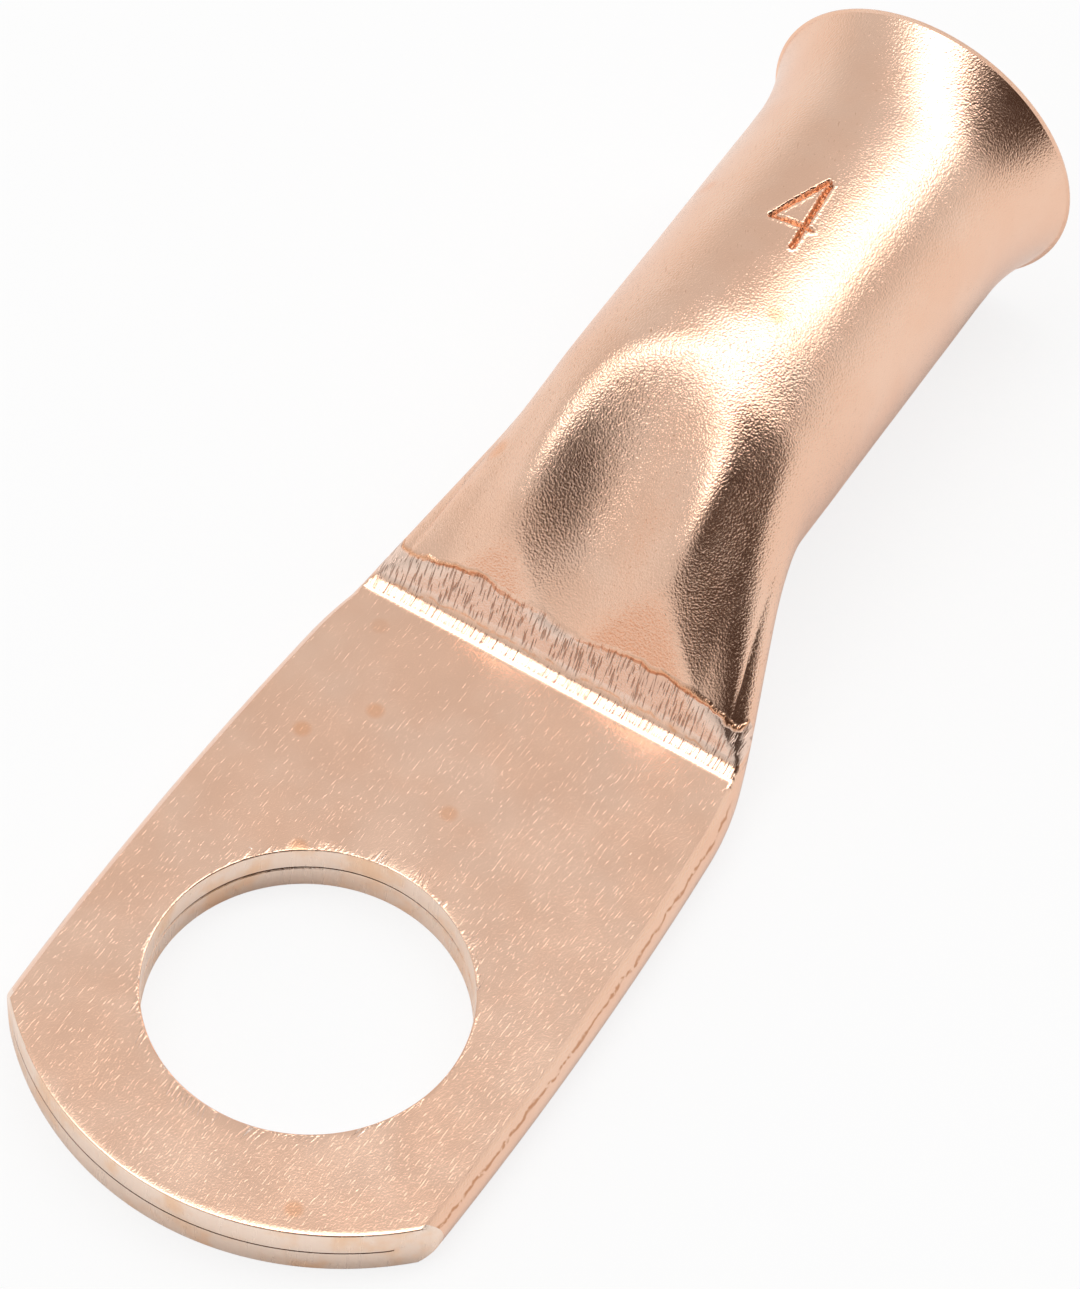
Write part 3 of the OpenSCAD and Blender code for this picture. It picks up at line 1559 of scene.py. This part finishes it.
    def settle(self, bm: bmesh.types.BMesh) -> None:
        """Gives the worked copper its slight unevenness.

        Args:
            bm: The pressed tube.
        """
        skin_layer = bm.verts.layers.int["skin"]
        bm.normal_update()
        moves = []
        for vert in bm.verts:
            if vert[skin_layer] != Skin.OUTER.value:
                continue
            ripple = self.ripple_share * noise.noise(vert.co * self.ripple_scale)
            wave = noise.noise(vert.co * self.sway_scale) + ripple
            loose = smooth((vert.co.x - self.sway_x) / self.sway_len)
            push = vert.normal * (wave - self.sway_sink) * self.sway * loose
            moves.append((vert, push))
        for vert, push in moves:
            vert.co += push

    # Stamp -----------------------------------------------------------------

    def strike_size(self, bm: bmesh.types.BMesh) -> None:
        """Strikes the size into the barrel, on a finer patch of the skin.

        Args:
            bm: The pressed tube.
        """
        p, stamp = self.press, self.stamp
        skin_layer = bm.verts.layers.int["skin"]

        def struck(vert: bmesh.types.BMVert, spare: float) -> bool:
            """Returns whether a vertex is of the outer skin and in the patch."""
            outer = vert[skin_layer] == Skin.OUTER.value
            return outer and stamp.holds(vert.co.x, arc_of(vert), spare)

        def arc_of(vert: bmesh.types.BMVert) -> float:
            """Returns a vertex's place round the barrel from its top line."""
            return math.atan2(vert.co.y, vert.co.z - p.axis_z) * p.barrel_r

        edges = [
            edge for edge in bm.edges if all(struck(vert, 0.0) for vert in edge.verts)
        ]
        bmesh.ops.subdivide_edges(bm, edges=edges, cuts=stamp.cuts, use_grid_fill=True)
        struck_layer = bm.verts.layers.float.new("struck")
        for vert in bm.verts:
            if vert.co.z < p.axis_z or not struck(vert, stamp.spare):
                continue
            radial = Vector((0, vert.co.y, vert.co.z - p.axis_z))
            sink = stamp.sink(vert.co.x, arc_of(vert))
            # The groove's depth, 0 to 1, which the copper's colour turns into painted
            # shade
            vert[struck_layer] = clamp(sink / stamp.depth)
            radial = radial.normalized() * (radial.length - sink)
            vert.co.y, vert.co.z = radial.y, radial.z + p.axis_z

    # Hole ------------------------------------------------------------------

    def punch_curl(self) -> list[Pair]:
        """Rounds the hole's lower edge.

        Returns:
            The edge's (radius, height) places, from the underside up.
        """
        radius, curl = self.hole_d / 2, self.hole_round
        steps = self.hole_curl_steps
        turns = [math.pi / 2 * i / steps for i in range(steps + 1)]
        return [
            (radius + curl * (1 - math.sin(a)), curl * (1 - math.cos(a))) for a in turns
        ]

    def punch(self) -> bpy.types.Object:
        """Builds the punch for the bolt hole, with its rounded ends.

        Returns:
            The punch as a closed object.
        """
        radius, thick = self.hole_d / 2, self.press.palm_t
        wide, spare, mid = radius + self.hole_round, self.punch_spare, thick / 2
        curl = self.punch_curl()
        section = [(0.0, -spare), (wide, -spare), *curl]
        section += [
            (radius, mid - self.seam_half),
            (radius + self.seam_cut, mid),
            (radius, mid + self.seam_half),
        ]
        section += [(r, thick - z) for r, z in reversed(curl)]
        section += [(wide, thick + spare), (0.0, thick + spare)]
        bm = bmesh.new()
        join_in_order(bm, [bm.verts.new((r, 0, z)) for r, z in section])
        spin_round(bm, (0.0, 0.0, 1.0), self.hole_sides)
        bmesh.ops.remove_doubles(bm, verts=bm.verts[:], dist=self.weld)
        bmesh.ops.recalc_face_normals(bm, faces=bm.faces[:])
        return mesh_object("punch", bm)

    def punch_hole(self, tube: bpy.types.Object) -> None:
        """Punches the bolt hole through both walls of the palm.

        Args:
            tube: The pressed tube.
        """
        punch = self.punch()
        cut = tube.modifiers.new("bolt_hole", "BOOLEAN")
        cut.operation = "DIFFERENCE"
        cut.solver = "EXACT"
        cut.object = punch
        bpy.context.view_layer.update()
        graph = bpy.context.evaluated_depsgraph_get()
        punched = bpy.data.meshes.new_from_object(tube.evaluated_get(graph))
        tube.modifiers.clear()
        tube.data = punched
        punched.name = tube.name
        bpy.data.objects.remove(punch)

    # Dressing --------------------------------------------------------------

    def cut_at(self, centre: Vector, tilt: float) -> Cut:
        """Returns which finish a face has.

        Args:
            centre: The face's centre, in millimetres.
            tilt: How far its normal stands up or down, from 0 to 1.

        Returns:
            Sheared on the tip and on the hole's wall, rolled elsewhere.
        """
        p = self.press
        if centre.x > p.shoulder_x - self.cut_end or tilt > self.cut_tilt:
            return Cut.ROLLED
        reach = self.hole_d / 2 + self.cut_hole_reach
        in_hole = math.hypot(centre.x, centre.y) < reach
        at_tip = centre.x < p.tip_x(centre.y) + self.cut_tip_reach
        return Cut.SHEARED if in_hole or at_tip else Cut.ROLLED

    def build(self) -> bpy.types.Object:
        """Builds the dressed lug.

        Returns:
            The lug's object, riding on the part's body.
        """
        bm = self.turn_blank()
        self.press_tube(bm)
        self.settle(bm)
        self.strike_size(bm)
        lug = mesh_object("pressed_lug", bm)
        self.punch_hole(lug)
        mesh = lug.data
        mesh.materials.clear()
        mesh.materials.append(RolledCopper().build())
        mesh.materials.append(ShearedCopper().build())
        for face in mesh.polygons:
            face.material_index = self.cut_at(face.center, abs(face.normal.z)).value
        mesh.transform(Matrix.Scale(MM, 4))
        mesh.shade_smooth()
        mesh.set_sharp_from_angle(angle=math.radians(self.crease_angle))
        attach(lug, "root")
        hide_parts(NODE)
        return lug


# --------------------------------------------------------------------------
# Studio
# --------------------------------------------------------------------------


@dataclass
class Studio:
    """A white table, a soft box overhead, plain surroundings and the camera.

    Places and sizes are in metres; the soft box's are shares of its height.
    """

    table_r: float = 3.0
    table_sides: int = 96
    table_white: Colour = (0.9, 0.9, 0.9, 1.0)
    table_glow: float = 0.82

    box_height: float = 0.6
    box_centre: Pair = (0.36, -0.13)
    box_size: Pair = (2.25, 0.46)
    box_turn: float = 137.5
    box_radiance: float = 2.6

    # Even grey walls, brighter low down
    wall_height: Pair = (-0.05, 0.42)
    wall_light: Pair = (0.95, 0.66)

    # Black cloth on the near side, and the camera's own dark shape
    cloth_aim: Triple = (-0.29, -0.80, 0.53)
    cloth_edge: Pair = (0.68, 0.87)
    cloth_foot: Pair = (0.02, 0.16)
    lens_aim: Triple = (-0.524, -0.267, 0.809)
    lens_edge: Pair = (0.90, 0.98)
    lens_shares: Pair = (0.0, 0.86)
    white: Colour = (1.0, 1.0, 1.0, 1.0)
    dark: Colour = (0.085, 0.055, 0.042, 1.0)

    camera_place: Triple = (-0.09093998, -0.05360094, 0.165338)
    camera_right: Triple = (0.52358721, -0.85013195, 0.0559651)
    camera_up: Triple = (0.6716407, 0.45228613, 0.58680152)
    camera_lens: float = 177.04
    camera_sensor: float = 36.0
    camera_clip: float = 0.01

    def table(self) -> bpy.types.Object:
        """Builds the white table that the lug lies on.

        Returns:
            The table, marked as stage.
        """
        bm = bmesh.new()
        bmesh.ops.create_circle(
            bm, cap_ends=True, radius=self.table_r, segments=self.table_sides
        )
        table = mesh_object("table", bm)
        material = bpy.data.materials.new("white_table")
        material.use_nodes = True
        bench = NodeBench(material.node_tree)
        output = bench.node("ShaderNodeOutputMaterial")
        paper = bench.node("ShaderNodeBsdfDiffuse")
        paper.inputs["Color"].default_value = self.table_white
        glow = bench.node("ShaderNodeEmission")
        glow.inputs["Color"].default_value = self.white
        glow.inputs["Strength"].default_value = 1.0
        path = bench.node("ShaderNodeLightPath")
        share = bench.times(path.outputs["Is Camera Ray"], self.table_glow)
        blend = bench.node("ShaderNodeMixShader")
        bench.link(share, blend.inputs[0])
        bench.link(paper.outputs[0], blend.inputs[1])
        bench.link(glow.outputs[0], blend.inputs[2])
        bench.link(blend.outputs[0], output.inputs["Surface"])
        table.data.materials.append(material)
        return table

    def soft_box(self) -> bpy.types.Object:
        """Hangs the long soft box over the table.

        Returns:
            The lamp.
        """
        h = self.box_height
        lamp = bpy.data.lights.new("soft_box", "AREA")
        lamp.shape = "RECTANGLE"
        lamp.size, lamp.size_y = self.box_size[0] * h, self.box_size[1] * h
        lamp.energy = self.box_radiance * math.pi * lamp.size * lamp.size_y
        made = new_object("soft_box", lamp)
        made.location = (self.box_centre[0] * h, self.box_centre[1] * h, h)
        made.rotation_euler = (0, 0, math.radians(self.box_turn))
        return made

    def surroundings(self) -> None:
        """Gives the world its even grey, and its dark places on the near side."""
        world = bpy.data.worlds.new("studio")
        bpy.context.scene.world = world
        world.use_nodes = True
        bench = NodeBench(world.node_tree)
        output = bench.node("ShaderNodeOutputWorld")
        glow = bench.node("ShaderNodeBackground")
        bench.link(glow.outputs[0], output.inputs["Surface"])
        direction = bench.node("ShaderNodeTexCoord").outputs["Generated"]
        height = bench.axis(direction, "Z")
        walls = bench.ramp(height, self.wall_height, self.wall_light)
        bench.link(walls, glow.inputs["Strength"])
        to_cloth = bench.facing(direction, self.cloth_aim)
        cloth = bench.times(
            bench.ramp(to_cloth, self.cloth_edge), bench.ramp(height, self.cloth_foot)
        )
        to_lens = bench.facing(direction, self.lens_aim)
        lens = bench.ramp(to_lens, self.lens_edge, self.lens_shares)
        shade = bench.math("MAXIMUM", cloth, lens)
        bench.link(bench.blend(shade, self.white, self.dark), glow.inputs["Color"])

    def camera(self) -> bpy.types.Object:
        """Sets up the camera.

        Returns:
            The camera.
        """
        data = bpy.data.cameras.new("camera")
        data.lens = self.camera_lens
        data.sensor_width = self.camera_sensor
        data.clip_start = self.camera_clip
        right, up = Vector(self.camera_right), Vector(self.camera_up)
        turn = Matrix((right, up, right.cross(up))).transposed()
        made = new_object("camera", data)
        made.matrix_world = Matrix.Translation(self.camera_place) @ turn.to_4x4()
        bpy.context.scene.camera = made
        return made

    def build(self) -> None:
        """Builds the whole studio."""
        self.table()
        self.soft_box()
        self.surroundings()
        self.camera()
        bpy.context.scene.view_settings.view_transform = "Standard"


def main() -> None:
    """Loads the frame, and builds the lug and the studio."""
    logging.basicConfig(level=logging.INFO, format="%(name)s: %(message)s")
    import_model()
    lug = Lug().build()
    LOG.info("%s: %d faces", lug.name, len(lug.data.polygons))
    Studio().build()
    LOG.info("studio: table, soft box, surroundings and camera")


if __name__ == "__main__":
    main()
